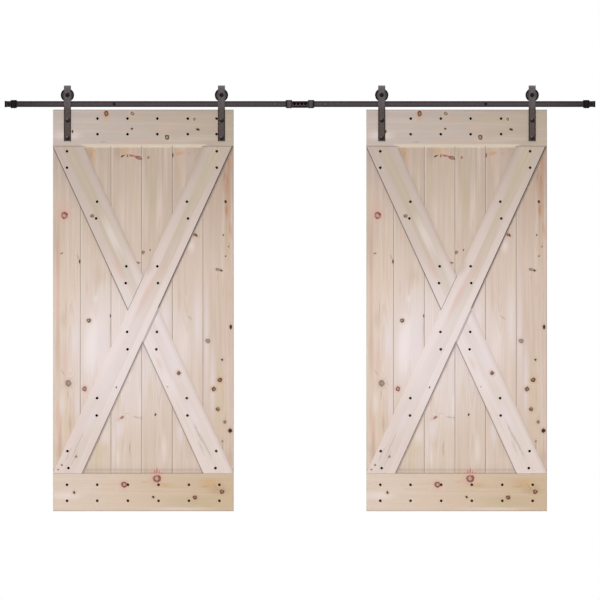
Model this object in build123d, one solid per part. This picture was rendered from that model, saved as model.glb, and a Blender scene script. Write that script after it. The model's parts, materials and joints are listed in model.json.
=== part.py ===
from build123d import *
from math import radians, sqrt, tan
import os

# Double sliding barn door: two plank leaves with crossed braces, each on two strap hangers,
# which roll along one flat rail that stands off the wall on spacers.
# Millimetres. The origin lies on the wall, at the rail's mid height, where its two halves meet.
# X runs to the right along the rail, Y into the wall, Z up, so the fronts face -Y.

# Clearances
board_gap = 0.4
hole_clearance = 0.2
running_clearance = 0.3
shaft_clearance = 0.08

# Turned or ground corners of the steel pieces
steel_edge = 0.6

# Rail: two flat bars, end to end
rail_half_length = 1493.0
rail_height = 30.0
rail_thickness = 6.0
rail_standoff = 32.0
rail_edge_radius = 1.0
rail_joint_gap = 0.5

# Rail end caps
cap_length = 7.0
cap_wall = 1.0
cap_end_wall = 1.5
cap_clearance = 0.15

# Wall fixings: lag bolts through the rail and a round spacer
first_fixing = 127.0
fixing_pitch = 406.4
pitched_fixings = 3
end_fixing_gap = 1.0
spacer_radius = 10.0
spacer_chamfer = 0.8
lag_shank_radius = 4.0
lag_thread_radius = 3.5
lag_depth_in_wall = 45.0
lag_tip_length = 9.0
lag_head_flats = 12.7
lag_head_height = 5.5
lag_washer_radius = 7.8
lag_washer_thickness = 1.6

# Rail joiner: an angle over the joint, with four countersunk bolts
joiner_half_length = 39.5
joiner_thickness = 4.0
joiner_below_rail_top = 1.0
joiner_bolt_pitch = 18.8
joiner_bolt_radius = 3.0
joiner_head_radius = 6.0
joiner_socket_flats = 4.0
joiner_socket_depth = 2.4
joiner_nut_flats = 10.0
joiner_nut_height = 5.0
joiner_bolt_past_nut = 1.0

# Stops: sleeves clamped on the rail, each with a rubber pad that meets a wheel
stop_length = 28.0
stop_wall = 5.2
stop_front_wall = 8.0
stop_back_wall = 5.5
stop_corner_radius = 3.0
stop_groove_width = 4.0
stop_groove_depth = 2.0
pad_thickness = 4.0
pad_inset = 0.8
end_stop_gap = 0.6
centre_stop_gap = 0.8
set_screw_radius = 2.5
set_screw_pitch = 13.0
set_screw_proud = 1.5
set_screw_socket_flats = 2.5
set_screw_socket_depth = 2.5

# Wheels, grooved to ride on the rail's top edge
tread_radius = 30.0
flange_height = 4.0
wheel_width = 26.0
groove_side_play = 1.0
groove_slope = 1.5
rim_height = 6.0
rim_chamfer = 1.5
web_dish = 3.0
hub_radius = 16.0
hub_lip = 1.2
bearing_radius = 13.0
bearing_width = 12.0
bearing_ring = 2.3
shield_depth = 0.6
bearing_fit = 0.05

# Axles
axle_radius = 5.0
axle_head_radius = 9.0
axle_head_height = 4.0
axle_nut_flats = 17.0
axle_nut_height = 7.0
axle_past_nut = 1.0
bush_radius = 8.0
wheel_side_gap = 1.5

# Strap hangers, bent over the wheels and bolted to the leaves' fronts
strap_width = 36.0
strap_thickness = 5.0
strap_head_room = 9.9
strap_back_below_axle = 22.0
strap_end_below_leaf_top = 160.0
strap_bolt_drops = (52.3, 142.5)
strap_bolt_radius = 4.0
strap_bolt_head_radius = 11.0
strap_bolt_head_height = 4.6
strap_bolt_rim = 0.9
strap_bolt_past_nut = 1.0
strap_nut_flats = 13.0
strap_nut_height = 7.5
strap_nut_flange_radius = 9.5
strap_nut_flange_thickness = 1.8

# Leaves
leaf_width = 914.4
leaf_height = 2032.0
leaf_below_rail = 13.0
plank_count = 6
plank_pitch = 155.2
plank_thickness = 19.0
tongue_length = 7.0
tongue_thickness = 5.6
groove_depth = 7.6
groove_clearance = 0.3
plank_edge = 1.2
overlay_thickness = 16.0
overlay_edge_radius = 1.6
top_rail_height = 184.0
bottom_rail_height = 190.5
brace_width = 139.7

# Hangers' distances from a leaf's outer and inner edge, and the leaf's place,
# measured from where its outer wheel meets the end stop
hanger_insets = {"left": (73.0, 62.0), "right": (75.0, 78.0)}
distance_from_open = {"left": 232.0, "right": 234.0}

# Places that follow from the sizes above
rail_back = -rail_standoff
rail_front = rail_back - rail_thickness
rail_middle = (rail_front + rail_back) / 2
rail_top = rail_height / 2
axle_level = rail_top + running_clearance + tread_radius
flange_radius = tread_radius + flange_height
strap_inner_radius = wheel_width / 2 + wheel_side_gap
strap_outer_radius = strap_inner_radius + strap_thickness
strap_bend_level = axle_level + flange_radius + strap_head_room - strap_inner_radius
leaf_front = rail_middle - strap_inner_radius
plank_front = leaf_front + overlay_thickness
leaf_back = plank_front + plank_thickness
leaf_top = -rail_top - leaf_below_rail
leaf_bottom = leaf_top - leaf_height
stop_top = rail_top + running_clearance + stop_wall
end_fixing = rail_half_length - cap_length - end_fixing_gap - spacer_radius
end_pad_face = end_fixing - spacer_radius - end_stop_gap - stop_length - pad_thickness
centre_pad_face = joiner_half_length + centre_stop_gap + stop_length + pad_thickness
wheel_reach = running_clearance + sqrt(flange_radius**2 - (axle_level - stop_top) ** 2)
fixing_places = [first_fixing + i * fixing_pitch for i in range(pitched_fixings)]
fixing_places.append(end_fixing)
joiner_bolt_places = [joiner_bolt_pitch * (i - 1.5) for i in range(4)]


def hanger_places(side):
    """X of the outer and inner hanger of a leaf, at rest."""
    sign = -1 if side == "left" else 1
    outer_inset, inner_inset = hanger_insets[side]
    outer = end_pad_face - wheel_reach - distance_from_open[side]
    inner = outer + outer_inset + inner_inset - leaf_width
    return sign * outer, sign * inner


def leaf_left_edge(side):
    """X of a leaf's left edge, at rest."""
    outer, inner = hanger_places(side)
    outer_inset, inner_inset = hanger_insets[side]
    return outer - outer_inset if side == "left" else inner - inner_inset


def turned(*outline):
    """A solid turned about Y, from points of radius and Y."""
    return revolve(make_face(Polyline(*outline, close=True)), Axis.Y)


def rod(radius, length):
    """A round bar from Y = 0 towards the wall."""
    return turned((0, 0), (radius, 0), (radius, length), (0, length))


def ring(outer, bore, length):
    """A round tube or washer from Y = 0 towards the wall."""
    return turned((bore, 0), (outer, 0), (outer, length), (bore, length))


def hexagon(flats, height):
    """A hexagonal head or nut blank with its corners turned off."""
    corner = flats / sqrt(3)
    bevel = (corner - flats / 2) * tan(radians(30))
    profile = (
        (0, 0),
        (flats / 2, 0),
        (corner, bevel),
        (corner, height - bevel),
        (flats / 2, height),
        (0, height),
    )
    prism = extrude(Plane.XZ * RegularPolygon(flats / 2, 6, major_radius=False), -height)
    return prism & turned(*profile)


def nut(flats, height, bolt_radius):
    """A hexagonal nut whose seat is at Y = 0."""
    return hexagon(flats, height) - rod(bolt_radius + hole_clearance, height)


def socket(flats, depth):
    """A hexagonal drive socket from Y = 0 towards the wall."""
    return extrude(Plane.XZ * RegularPolygon(flats / 2, 6, major_radius=False), -depth)


def domed_bolt(head_radius, head_height, rim, shank_radius, length):
    """A bolt with a low domed head, whose seat is at Y = 0."""
    rise = head_height - rim
    dome_radius = (head_radius**2 + rise**2) / (2 * rise)
    outline = [
        RadiusArc((0, -head_height), (head_radius, -rim), -dome_radius),
        Polyline(
            (head_radius, -rim),
            (head_radius, 0),
            (shank_radius, 0),
            (shank_radius, length),
            (0, length),
            (0, -head_height),
        ),
    ]
    return revolve(make_face(outline), Axis.Y)


def section_bar(section, x_start, x_end):
    """A section drawn in Y and Z, run along X."""
    return Pos(x_start, 0, 0) * extrude(Plane.YZ * section, x_end - x_start)


def rectangle(y_low, y_high, z_low, z_high, radius=0.0):
    shape = Rectangle(y_high - y_low, z_high - z_low)
    if radius:
        shape = fillet(shape.vertices(), radius)
    return Pos((y_low + y_high) / 2, (z_low + z_high) / 2) * shape


def half_rail(sign):
    """One flat bar, with holes for the wall fixings and the joiner bolts."""
    bar = section_bar(
        rectangle(rail_front, rail_back, -rail_top, rail_top, rail_edge_radius),
        rail_joint_gap / 2,
        rail_half_length,
    )
    for x in fixing_places:
        bar -= Pos(x, rail_front, 0) * rod(lag_shank_radius + hole_clearance, rail_thickness)
    for x in (joiner_bolt_pitch / 2, joiner_bolt_pitch * 3 / 2):
        bar -= Pos(x, rail_front, 0) * rod(joiner_bolt_radius + hole_clearance, rail_thickness)
    return bar if sign > 0 else mirror(bar, Plane.YZ)


def end_cap(sign):
    """A thin cup over the rail's end."""
    inner = cap_clearance
    outer = cap_clearance + cap_wall
    face = rail_half_length + cap_clearance + cap_end_wall
    cup = section_bar(
        rectangle(
            rail_front - outer, rail_back + outer, -rail_top - outer, rail_top + outer,
            rail_edge_radius,
        ),
        rail_half_length - cap_length,
        face,
    )
    cup -= section_bar(
        rectangle(rail_front - inner, rail_back + inner, -rail_top - inner, rail_top + inner),
        rail_half_length - cap_length,
        rail_half_length + cap_clearance,
    )
    return cup if sign > 0 else mirror(cup, Plane.YZ)


def lag_bolt():
    """A hexagonal head, a plain shank to the wall and a pointed threaded end, from the wall face."""
    through = rail_standoff + rail_thickness + lag_washer_thickness
    head = Pos(0, -through - lag_head_height, 0) * hexagon(lag_head_flats, lag_head_height)
    shank = turned(
        (0, -through),
        (lag_shank_radius, -through),
        (lag_shank_radius, 0),
        (lag_thread_radius, 0),
        (lag_thread_radius, lag_depth_in_wall - lag_tip_length),
        (0, lag_depth_in_wall),
    )
    return head + shank


def wall_spacer():
    bore = lag_shank_radius + hole_clearance
    back = rail_back
    tip = spacer_radius - spacer_chamfer
    return turned(
        (bore, back),
        (tip, back),
        (spacer_radius, back + spacer_chamfer),
        (spacer_radius, -spacer_chamfer),
        (tip, 0),
        (bore, 0),
    )


def joiner():
    """An angle: a plate on the rail's front with a lip that turns under its lower edge."""
    lip_top = -rail_top - running_clearance
    plate = rectangle(
        rail_front - joiner_thickness, rail_front, lip_top - joiner_thickness,
        rail_top - joiner_below_rail_top,
    )
    lip = rectangle(
        rail_front - joiner_thickness, rail_back, lip_top - joiner_thickness, lip_top
    )
    angle = section_bar(plate + lip, -joiner_half_length, joiner_half_length)
    angle = chamfer(angle.faces().sort_by(Axis.Y)[0].edges(), steel_edge)
    for x in joiner_bolt_places:
        angle -= Pos(x, rail_front - joiner_thickness, 0) * countersunk(
            joiner_head_radius + hole_clearance, joiner_bolt_radius + hole_clearance, joiner_thickness
        )
    return angle


def countersunk(head_radius, shank_radius, length):
    """A countersunk bolt or its hole, flush at Y = 0."""
    return turned(
        (0, 0),
        (head_radius, 0),
        (shank_radius, head_radius - shank_radius),
        (shank_radius, length),
        (0, length),
    )


def stop_section(inset):
    """A ring round the rail, drawn in Y and Z."""
    outer = rectangle(
        rail_front - running_clearance - stop_front_wall + inset,
        rail_back + running_clearance + stop_back_wall - inset,
        -stop_top + inset,
        stop_top,
        stop_corner_radius,
    )
    clear = running_clearance
    return outer - rectangle(
        rail_front - clear, rail_back + clear, -rail_top - clear, rail_top + clear
    )


def set_screw_places():
    middle = stop_length / 2
    return (middle - set_screw_pitch / 2, middle + set_screw_pitch / 2)


def stop_body(grooved):
    """A clamp sleeve from X = 0 to its length; the end stops have a groove down the front."""
    body = section_bar(stop_section(0.0), 0, stop_length)
    for x in set_screw_places():
        hole = Cylinder(set_screw_radius + hole_clearance, stop_wall * 2)
        body -= Pos(x, rail_middle, -stop_top + stop_wall / 2) * hole
    if grooved:
        front = rail_front - running_clearance - stop_front_wall
        groove = Box(stop_groove_width, 2 * stop_groove_depth, 2 * stop_top)
        body -= Pos(stop_length / 2, front, 0) * groove
    return body


def stop_pad():
    """The rubber ring at the wheel's side of a stop, from X = 0 to its thickness."""
    return section_bar(stop_section(pad_inset), 0, pad_thickness)


def set_screw():
    """A screw up through the stop's foot, with its tip just under the rail."""
    tip = -rail_top - running_clearance
    foot = -stop_top - set_screw_proud
    screw = Cylinder(set_screw_radius, tip - foot)
    screw = chamfer(screw.edges().sort_by(Axis.Z)[0], steel_edge)
    drive = Rot(90, 0, 0) * socket(set_screw_socket_flats, set_screw_socket_depth)
    return Pos(0, rail_middle, (tip + foot) / 2) * screw - Pos(0, rail_middle, foot) * drive


def wheel():
    """A moulded wheel about its own middle, over its bearing."""
    half = wheel_width / 2
    dish = half - web_dish
    seat = bearing_width / 2 + bearing_fit
    tread_half = rail_thickness / 2 + groove_side_play
    lip_radius = bearing_radius - hub_lip
    rim_radius = flange_radius - rim_height
    side = [
        (tread_radius, tread_half),
        (flange_radius, tread_half + groove_slope),
        (flange_radius, half - rim_chamfer),
        (flange_radius - rim_chamfer, half),
        (rim_radius, half),
        (rim_radius - web_dish / 2, dish),
        (hub_radius + web_dish / 2, dish),
        (hub_radius, half),
        (lip_radius, half),
        (lip_radius, seat),
        (bearing_radius + bearing_fit, seat),
    ]
    return turned(*side, *[(radius, -y) for radius, y in reversed(side)])


def bearing():
    """A sealed ball bearing: two rings with a sunk shield between them on each side."""
    half = bearing_width / 2
    bore = axle_radius + shaft_clearance
    side = [
        (bore, half),
        (bore + bearing_ring, half),
        (bore + bearing_ring, half - shield_depth),
        (bearing_radius - bearing_ring, half - shield_depth),
        (bearing_radius - bearing_ring, half),
        (bearing_radius, half),
    ]
    return turned(*side, *[(radius, -y) for radius, y in reversed(side)])


def strap():
    """A flat bar bent over the wheel: a long leg on the leaf's front and a short leg behind."""
    y_front = rail_middle - strap_outer_radius
    y_front_inside = rail_middle - strap_inner_radius
    y_back_inside = rail_middle + strap_inner_radius
    y_back = rail_middle + strap_outer_radius
    front_end = leaf_top - strap_end_below_leaf_top
    back_end = axle_level - strap_back_below_axle
    bend = strap_bend_level
    outline = [
        Polyline((y_front_inside, bend), (y_front_inside, front_end), (y_front, front_end),
                 (y_front, bend)),
        ThreePointArc((y_front, bend), (rail_middle, bend + strap_outer_radius), (y_back, bend)),
        Polyline((y_back, bend), (y_back, back_end), (y_back_inside, back_end),
                 (y_back_inside, bend)),
        ThreePointArc(
            (y_back_inside, bend), (rail_middle, bend + strap_inner_radius), (y_front_inside, bend)
        ),
    ]
    bar = section_bar(make_face(outline), -strap_width / 2, strap_width / 2)
    bar = chamfer(bar.faces().sort_by(Axis.Y)[0].edges(), steel_edge)
    bar -= Pos(0, y_front, axle_level) * rod(axle_radius + hole_clearance, y_back - y_front)
    for drop in strap_bolt_drops:
        bar -= Pos(0, y_front, leaf_top - drop) * rod(
            strap_bolt_radius + hole_clearance, strap_thickness
        )
    return bar


def plank(index):
    """A tongued and grooved plank, from the leaf's left edge; the two outer ones are ripped flush."""
    first_width = leaf_width - (plank_count - 1) * plank_pitch
    left = 0.0 if index == 0 else first_width + (index - 1) * plank_pitch + board_gap / 2
    last = index == plank_count - 1
    right = leaf_width if last else first_width + index * plank_pitch - board_gap / 2
    middle = (plank_front + leaf_back) / 2
    tongue = tongue_thickness / 2
    groove = tongue + groove_clearance
    edge = plank_edge
    outline = [(left + edge, plank_front), (right - edge, plank_front), (right, plank_front + edge)]
    if not last:
        outline += [
            (right, middle - tongue),
            (right + tongue_length, middle - tongue),
            (right + tongue_length, middle + tongue),
            (right, middle + tongue),
        ]
    outline += [(right, leaf_back - edge), (right - edge, leaf_back)]
    outline += [(left + edge, leaf_back), (left, leaf_back - edge)]
    if index > 0:
        outline += [
            (left, middle + groove),
            (left + groove_depth, middle + groove),
            (left + groove_depth, middle - groove),
            (left, middle - groove),
        ]
    outline.append((left, plank_front + edge))
    section = make_face(Polyline(*outline, close=True))
    return Pos(0, 0, leaf_bottom) * extrude(section, leaf_height)


def overlay(*corners):
    """A board laid on the planks' fronts, from corners of X and Z, with its front edges rounded."""
    board = extrude(Plane.XZ * make_face(Polyline(*corners, close=True)), overlay_thickness)
    board = Pos(0, plank_front, 0) * board
    return fillet(board.edges().group_by(Axis.Y)[0], overlay_edge_radius)


def overlays():
    """The rails and braces of a leaf, from its left edge."""
    low = leaf_bottom + bottom_rail_height
    high = leaf_top - top_rail_height
    foot = low + board_gap
    head = high - board_gap
    rise = head - foot
    span = leaf_width
    diagonal = sqrt(rise**2 + span**2 - brace_width**2)
    run = rise * (span * rise - brace_width * diagonal) / (rise**2 - brace_width**2)
    cut = span - run
    slope = run / rise
    middle = foot + rise / 2
    near = board_gap / (2 * slope)
    far = (cut + board_gap) / (2 * slope)
    return {
        "top_rail": overlay((0, high), (span, high), (span, leaf_top), (0, leaf_top)),
        "bottom_rail": overlay((0, leaf_bottom), (span, leaf_bottom), (span, low), (0, low)),
        "brace_full": overlay((0, foot), (cut, foot), (span, head), (run, head)),
        "brace_upper": overlay(
            (0, head),
            ((run - board_gap) / 2, middle + near),
            ((span - board_gap) / 2, middle + far),
            (cut, head),
        ),
        "brace_lower": overlay(
            (span, foot),
            ((span + cut + board_gap) / 2, middle - near),
            ((span + board_gap) / 2, middle - far),
            (run, foot),
        ),
    }


def leaf(side):
    """A leaf with its hangers and wheels, by name."""
    edge = leaf_left_edge(side)
    places = hanger_places(side)
    bolt_points = [(x, leaf_top - drop) for x in places for drop in strap_bolt_drops]
    through = leaf_back - leaf_front
    boards = {f"plank_{i + 1}": plank(i) for i in range(plank_count)} | overlays()
    made = {}
    for name, board in boards.items():
        board = Pos(edge, 0, 0) * board
        for x, z in bolt_points:
            board -= Pos(x, leaf_front, z) * rod(strap_bolt_radius + hole_clearance, through)
        made[name] = board
    for which, x in zip(("outer", "inner"), places):
        made[f"strap_{which}"] = Pos(x, 0, 0) * strap()
        made[f"wheel_{which}"] = Pos(x, rail_middle, axle_level) * wheel()
        made[f"bearing_{which}"] = Pos(x, rail_middle, axle_level) * bearing()
    made |= leaf_fasteners(places, bolt_points)
    return made


def leaf_fasteners(places, bolt_points):
    """Groups of like fasteners: axles with their nuts and bushes, strap bolts with their nuts."""
    strap_front = rail_middle - strap_outer_radius
    strap_back = rail_middle + strap_outer_radius
    axle_length = strap_back - strap_front + axle_nut_height + axle_past_nut
    axle = domed_bolt(axle_head_radius, axle_head_height, strap_bolt_rim, axle_radius, axle_length)
    axle_nut = nut(axle_nut_flats, axle_nut_height, axle_radius)
    bush_length = strap_inner_radius - bearing_width / 2 - running_clearance
    bush = ring(bush_radius, axle_radius + hole_clearance, bush_length)
    bolt_length = leaf_back + strap_nut_height + strap_bolt_past_nut - strap_front
    bolt = domed_bolt(
        strap_bolt_head_radius, strap_bolt_head_height, strap_bolt_rim, strap_bolt_radius, bolt_length
    )
    strap_nut = nut(strap_nut_flats, strap_nut_height, strap_bolt_radius) + ring(
        strap_nut_flange_radius, strap_bolt_radius + hole_clearance, strap_nut_flange_thickness
    )
    front_bush = rail_middle - strap_inner_radius
    back_bush = rail_middle + strap_inner_radius - bush_length
    return {
        "axle_bolts": [Pos(x, strap_front, axle_level) * axle for x in places],
        "axle_nuts": [Pos(x, strap_back, axle_level) * axle_nut for x in places],
        "axle_bushes": [
            Pos(x, y, axle_level) * bush for x in places for y in (front_bush, back_bush)
        ],
        "strap_bolts": [Pos(x, strap_front, z) * bolt for x, z in bolt_points],
        "strap_nuts": [Pos(x, leaf_back, z) * strap_nut for x, z in bolt_points],
    }


def stops():
    """The four stops, their pads and their set screws."""
    made = {"stop_pads": [], "stop_set_screws": []}
    end_body = end_pad_face + pad_thickness
    centre_body = centre_pad_face - pad_thickness - stop_length
    for side, sign in (("left", -1), ("right", 1)):
        for kind, start in (("end", end_body), ("centre", centre_body)):
            pad_start = start - pad_thickness if kind == "end" else start + stop_length
            body = Pos(start, 0, 0) * stop_body(grooved=kind == "end")
            pad = Pos(pad_start, 0, 0) * stop_pad()
            screws = [Pos(start + x, 0, 0) * set_screw() for x in set_screw_places()]
            if sign < 0:
                body, pad = mirror(body, Plane.YZ), mirror(pad, Plane.YZ)
                screws = [mirror(screw, Plane.YZ) for screw in screws]
            made[f"{kind}_stop_{side}"] = body
            made["stop_pads"].append(pad)
            made["stop_set_screws"] += screws
    return made


def rail_parts():
    """The rail with all that is fixed to it and to the wall."""
    fixings = [sign * x for x in fixing_places for sign in (-1, 1)]
    washer = ring(lag_washer_radius, lag_shank_radius + hole_clearance, lag_washer_thickness)
    joiner_bolt = countersunk(
        joiner_head_radius,
        joiner_bolt_radius,
        joiner_thickness + rail_thickness + joiner_nut_height + joiner_bolt_past_nut,
    ) - socket(joiner_socket_flats, joiner_socket_depth)
    joiner_nut = nut(joiner_nut_flats, joiner_nut_height, joiner_bolt_radius)
    made = {
        "rail_left": half_rail(-1),
        "rail_right": half_rail(1),
        "rail_end_caps": [end_cap(-1), end_cap(1)],
        "rail_joiner": joiner(),
        "joiner_bolts": [
            Pos(x, rail_front - joiner_thickness, 0) * joiner_bolt for x in joiner_bolt_places
        ],
        "joiner_nuts": [Pos(x, rail_back, 0) * joiner_nut for x in joiner_bolt_places],
        "wall_spacers": [Pos(x, 0, 0) * wall_spacer() for x in fixings],
        "lag_bolts": [Pos(x, 0, 0) * lag_bolt() for x in fixings],
        "lag_washers": [
            Pos(x, rail_front - lag_washer_thickness, 0) * washer for x in fixings
        ],
    }
    return made | stops()


nodes = rail_parts()
for side in ("left", "right"):
    for name, shape in leaf(side).items():
        nodes[f"{side}_{name}"] = shape

os.makedirs("parts", exist_ok=True)
for name, shape in nodes.items():
    if isinstance(shape, list):
        shape = Compound(children=shape)
    shape.label = name
    export_step(shape, f"parts/{name}.step")
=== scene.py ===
import json
import math
from functools import partialmethod
import bpy
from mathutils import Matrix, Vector


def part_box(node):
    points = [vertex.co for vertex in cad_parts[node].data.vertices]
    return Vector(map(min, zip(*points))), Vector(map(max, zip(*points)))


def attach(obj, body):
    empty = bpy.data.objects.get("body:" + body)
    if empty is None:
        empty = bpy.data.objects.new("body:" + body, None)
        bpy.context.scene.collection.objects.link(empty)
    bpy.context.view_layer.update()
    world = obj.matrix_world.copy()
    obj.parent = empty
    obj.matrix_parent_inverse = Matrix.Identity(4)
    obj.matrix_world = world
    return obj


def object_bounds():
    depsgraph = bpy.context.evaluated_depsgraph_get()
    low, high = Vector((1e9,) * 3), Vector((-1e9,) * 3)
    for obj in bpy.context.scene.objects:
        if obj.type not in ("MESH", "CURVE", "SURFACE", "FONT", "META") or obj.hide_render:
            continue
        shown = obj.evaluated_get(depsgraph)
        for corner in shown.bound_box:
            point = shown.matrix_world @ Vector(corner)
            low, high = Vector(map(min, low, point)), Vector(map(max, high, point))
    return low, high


# Double sliding barn door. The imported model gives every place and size; this script gives the
# finishes, the wood screws and the lag threads. Metres, with X along the rail, Y into the wall
# and Z up.
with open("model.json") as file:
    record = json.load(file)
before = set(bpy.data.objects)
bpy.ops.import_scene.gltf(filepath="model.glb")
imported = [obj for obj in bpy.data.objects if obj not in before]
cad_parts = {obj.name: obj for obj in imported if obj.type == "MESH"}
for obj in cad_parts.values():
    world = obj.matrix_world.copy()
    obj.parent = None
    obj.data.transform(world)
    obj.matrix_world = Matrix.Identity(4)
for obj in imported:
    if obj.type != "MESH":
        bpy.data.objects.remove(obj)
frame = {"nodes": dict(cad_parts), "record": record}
cad_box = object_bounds()

MM = 0.001
WHITE = (1.0, 1.0, 1.0, 1.0)
# A mark's half size through a piece, so that it shows at any depth
ANY_DEPTH = 1000.0


def paint(tone, light=1.0):
    """A tone of three numbers from 0 to 255, as a shader's linear colour, lighter or darker."""
    def linear(value):
        value /= 255
        value = value / 12.92 if value <= 0.04045 else ((value + 0.055) / 1.055) ** 2.4
        return min(1.0, value * light)
    return (*map(linear, tone), 1.0)


def painted(colour):
    """A colour that is still a tone becomes paint. Any other stays as it is."""
    is_tone = isinstance(colour, tuple) and len(colour) == 3
    return paint(colour) if is_tone else colour


def added(name, data):
    """A new object in the scene."""
    made = bpy.data.objects.new(name, data)
    bpy.context.scene.collection.objects.link(made)
    return made


def add_node(tree, kind, settings, sockets):
    """A node, from its type, its settings and the values or links of its sockets."""
    made = tree.nodes.new(kind)
    for name, value in settings.items():
        setattr(made, name, value)
    for name, value in sockets.items():
        for link in value if isinstance(value, list) else [value]:
            if isinstance(link, bpy.types.NodeSocket):
                tree.links.new(link, made.inputs[name])
            else:
                made.inputs[name].default_value = link
    return made.outputs


class Wire:
    """A shader socket that takes part in Python expressions."""

    def __init__(self, finish, socket):
        self.finish = finish
        self.socket = socket

    def maths(self, operation, *others):
        values = dict(enumerate((self, *others)))
        return self.finish.node("Math", {"operation": operation}, values)

    __add__ = __radd__ = partialmethod(maths, "ADD")
    __sub__ = partialmethod(maths, "SUBTRACT")
    __mul__ = __rmul__ = partialmethod(maths, "MULTIPLY")
    __truediv__ = partialmethod(maths, "DIVIDE")
    __pow__ = partialmethod(maths, "POWER")
    __neg__ = partialmethod(maths, "MULTIPLY", -1.0)
    __abs__ = partialmethod(maths, "ABSOLUTE")
    fraction = partialmethod(maths, "FRACT")
    larger = partialmethod(maths, "MAXIMUM")

    def __rsub__(self, other):
        return self.finish.node("Math", {"operation": "SUBTRACT"}, {0: other, 1: self})

    def ramp(self, start, end, low, high):
        """A smooth step from low at start to high at end."""
        sockets = {
            "Value": self, "From Min": start, "From Max": end, "To Min": low, "To Max": high,
        }
        return self.finish.node("MapRange", {"interpolation_type": "SMOOTHSTEP"}, sockets)

    def rise(self, start, end, strength=1.0):
        return self.ramp(start, end, 0.0, strength)

    def fall(self, start, end, strength=1.0):
        return self.ramp(start, end, strength, 0.0)

    def stretched(self, scale, shift=(0.0, 0.0, 0.0)):
        """A vector times a scale plus a shift, axis by axis."""
        sockets = {0: self, 1: scale, 2: shift}
        return self.finish.node("VectorMath", {"operation": "MULTIPLY_ADD"}, sockets)

    def length(self):
        return self.finish.node("VectorMath", {"operation": "LENGTH"}, {0: self}, "Value")

    def part(self, axis):
        """One axis of a vector."""
        return self.finish.node("SeparateXYZ", {}, {0: self}, axis)


class Finish:
    """The nodes of a material or of the sky, and the colour that they have built up so far."""

    def __init__(self, name, kind="materials"):
        self.made = getattr(bpy.data, kind).new(name)
        self.made.use_nodes = True
        self.tree = self.made.node_tree
        self.tree.nodes.clear()
        self.colour = None

    def node(self, kind, settings, sockets, output=0):
        bare = {name: getattr(value, "socket", value) for name, value in sockets.items()}
        outputs = add_node(self.tree, "ShaderNode" + kind, settings, bare)
        return Wire(self, outputs[output]) if len(outputs) else None

    def place(self, centre=(0.0, 0.0, 0.0), turn=0.0):
        """Object coordinates about a centre, with X turned towards Z."""
        spot = self.node("TexCoord", {}, {}, "Object")
        sockets = {"Vector": spot, "Location": centre, "Rotation": (0.0, -turn, 0.0)}
        return self.node("Mapping", {"vector_type": "TEXTURE"}, sockets)

    def mark(self, vector, middle, halves, turn=0.0):
        """How far a point is from a mark's middle, in the mark's half sizes, at any depth."""
        sockets = {
            "Vector": vector,
            "Location": (middle[0], 0.0, middle[1]),
            "Rotation": (0.0, -turn, 0.0),
            "Scale": (halves[0], ANY_DEPTH, halves[1]),
        }
        return self.node("Mapping", {"vector_type": "TEXTURE"}, sockets).length()

    def noise(self, vector, scale, detail=2.0, roughness=0.5, output=0):
        sockets = {"Vector": vector, "Scale": scale, "Detail": detail, "Roughness": roughness}
        return self.node("TexNoise", {}, sockets, output)

    def mix(self, factor, first, second, blend="MIX"):
        """A colour between two. A Mix node's colours are its inputs 6 and 7 and its output 2."""
        settings = {"data_type": "RGBA", "blend_type": blend}
        colours = {0: factor, 6: painted(first), 7: painted(second)}
        return self.node("Mix", settings, colours, 2)

    def lay(self, where, colour, blend="MIX"):
        """Lays a colour over what is there, as strongly as where says."""
        self.colour = self.mix(where, self.colour, colour, blend)

    def close(self, rough, sockets):
        """Ends a material with its colour, its roughness and more sockets of its shader."""
        sockets = {"Base Color": self.colour, "Roughness": rough, **sockets}
        shader = self.node("BsdfPrincipled", {}, sockets)
        self.node("OutputMaterial", {}, {"Surface": shader})
        return self.made

    def close_rough(self, relief, bump, rough, shine):
        """Ends a material with a relief that is raised by a strength and a height."""
        sockets = {"Height": relief, "Strength": bump[0], "Distance": bump[1]}
        normal = self.node("Bump", {}, sockets, "Normal")
        return self.close(rough, {"Normal": normal, "Specular IOR Level": shine})


# Pine tones, by board: a rail's left and right end, and any other board's foot and head,
# the head darker as painted shade towards the leaf's top
PINE = {
    "top_rail": ((194, 180, 173), (181, 166, 151)),
    "bottom_rail": ((216, 198, 184), (199, 177, 149)),
    "brace_full": ((221, 206, 200), (185, 169, 157)),
    "brace_upper": ((210, 195, 187), (187, 171, 162)),
    "brace_lower": ((223, 209, 204), (217, 205, 200)),
    "plank_1": ((218, 198, 182), (185, 169, 160)),
    "plank_2": ((215, 198, 184), (184, 167, 151)),
    "plank_3": ((215, 198, 184), (187, 169, 153)),
    "plank_4": ((212, 194, 179), (180, 163, 148)),
    "plank_5": ((215, 197, 184), (180, 162, 148)),
    "plank_6": ((209, 189, 174), (178, 158, 144)),
}

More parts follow.
